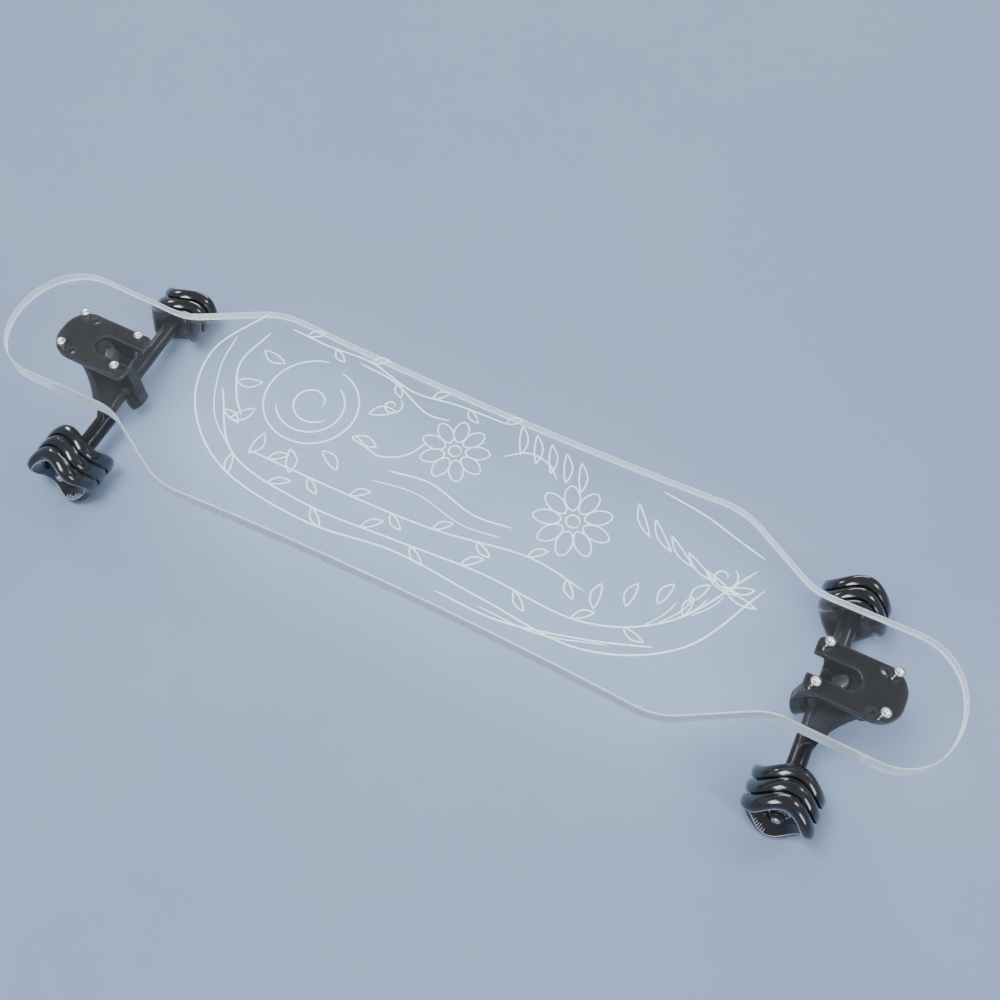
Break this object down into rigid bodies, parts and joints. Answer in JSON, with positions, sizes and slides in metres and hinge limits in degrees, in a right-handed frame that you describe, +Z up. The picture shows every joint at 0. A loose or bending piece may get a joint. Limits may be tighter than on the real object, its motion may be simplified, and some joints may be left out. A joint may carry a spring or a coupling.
{
  "type": "longboard skateboard",
  "caption": "Unpowered longboard: flat clear acrylic deck with an hour-glass neck at each end, black reverse-kingpin trucks and black wheels with wavy ridges.",
  "frame": {"origin": "on the ground under the middle of the board", "axes": "+X along the board towards its nose, +Y to the left side, +Z up"},
  "size_m": [0.9868, 0.259, 0.119],
  "materials": {
    "clear_acrylic": "polished faces, frosted edges, engraved lines",
    "stainless": "polished",
    "zinc": "zinc plated",
    "black_casting": "satin black paint",
    "black_steel": "black oxide",
    "cup_urethane": "smooth",
    "bushing_urethane": "smooth",
    "axle_steel": "ground",
    "bearing_steel": "ground",
    "bearing_shield": "matte",
    "black_nylon": "moulded",
    "black_urethane": "glossy cast urethane"
  },
  "bodies": {
    "root": {"deck": "clear_acrylic", "front_deck_screws": "stainless", "front_deck_nuts": "zinc", "front_baseplate": "black_casting", "front_pivot_cup": "cup_urethane", "front_kingpin": "black_steel", "front_board_bushing": "bushing_urethane", "front_road_bushing": "bushing_urethane", "front_upper_washer": "black_steel", "front_lower_washer": "black_steel", "front_kingpin_nut": "black_steel", "rear_deck_screws": "stainless", "rear_deck_nuts": "zinc", "rear_baseplate": "black_casting", "rear_pivot_cup": "cup_urethane", "rear_kingpin": "black_steel", "rear_board_bushing": "bushing_urethane", "rear_road_bushing": "bushing_urethane", "rear_upper_washer": "black_steel", "rear_lower_washer": "black_steel", "rear_kingpin_nut": "black_steel"},
    "front_hanger_body": {"front_hanger": "black_casting", "front_axle": "axle_steel", "front_speed_washers": "zinc", "front_inner_races": "bearing_steel", "front_spacers": "zinc", "front_axle_nuts": "black_steel"},
    "rear_hanger_body": {"rear_hanger": "black_casting", "rear_axle": "axle_steel", "rear_speed_washers": "zinc", "rear_inner_races": "bearing_steel", "rear_spacers": "zinc", "rear_axle_nuts": "black_steel"},
    "front_left_wheel": {"front_left_tyre": "black_urethane", "front_left_core": "black_nylon", "front_left_outer_races": "bearing_steel", "front_left_balls": "bearing_steel", "front_left_shields": "bearing_shield"},
    "front_right_wheel": {"front_right_tyre": "black_urethane", "front_right_core": "black_nylon", "front_right_outer_races": "bearing_steel", "front_right_balls": "bearing_steel", "front_right_shields": "bearing_shield"},
    "rear_left_wheel": {"rear_left_tyre": "black_urethane", "rear_left_core": "black_nylon", "rear_left_outer_races": "bearing_steel", "rear_left_balls": "bearing_steel", "rear_left_shields": "bearing_shield"},
    "rear_right_wheel": {"rear_right_tyre": "black_urethane", "rear_right_core": "black_nylon", "rear_right_outer_races": "bearing_steel", "rear_right_balls": "bearing_steel", "rear_right_shields": "bearing_shield"}
  },
  "joints": [
    {"name": "front_steer", "type": "hinge", "parent": "root", "child": "front_hanger_body", "pos_m": [0.408, 0, 0.071], "axis": [0.6428, 0, 0.766], "range_deg": [-20, 20], "stiffness_Nm_per_rad": 60, "deforming": ["front_board_bushing", "front_road_bushing"]},
    {"name": "rear_steer", "type": "hinge", "parent": "root", "child": "rear_hanger_body", "pos_m": [-0.408, 0, 0.071], "axis": [-0.6428, 0, 0.766], "range_deg": [-20, 20], "stiffness_Nm_per_rad": 60, "deforming": ["rear_board_bushing", "rear_road_bushing"]},
    {"name": "front_left_roll", "type": "hinge", "parent": "front_hanger_body", "child": "front_left_wheel", "pos_m": [0.385, 0.103, 0.035], "axis": [0, 1, 0], "continuous": true},
    {"name": "front_right_roll", "type": "hinge", "parent": "front_hanger_body", "child": "front_right_wheel", "pos_m": [0.385, -0.103, 0.035], "axis": [0, 1, 0], "continuous": true},
    {"name": "rear_left_roll", "type": "hinge", "parent": "rear_hanger_body", "child": "rear_left_wheel", "pos_m": [-0.385, 0.103, 0.035], "axis": [0, 1, 0], "continuous": true},
    {"name": "rear_right_roll", "type": "hinge", "parent": "rear_hanger_body", "child": "rear_right_wheel", "pos_m": [-0.385, -0.103, 0.035], "axis": [0, 1, 0], "continuous": true}
  ]
}
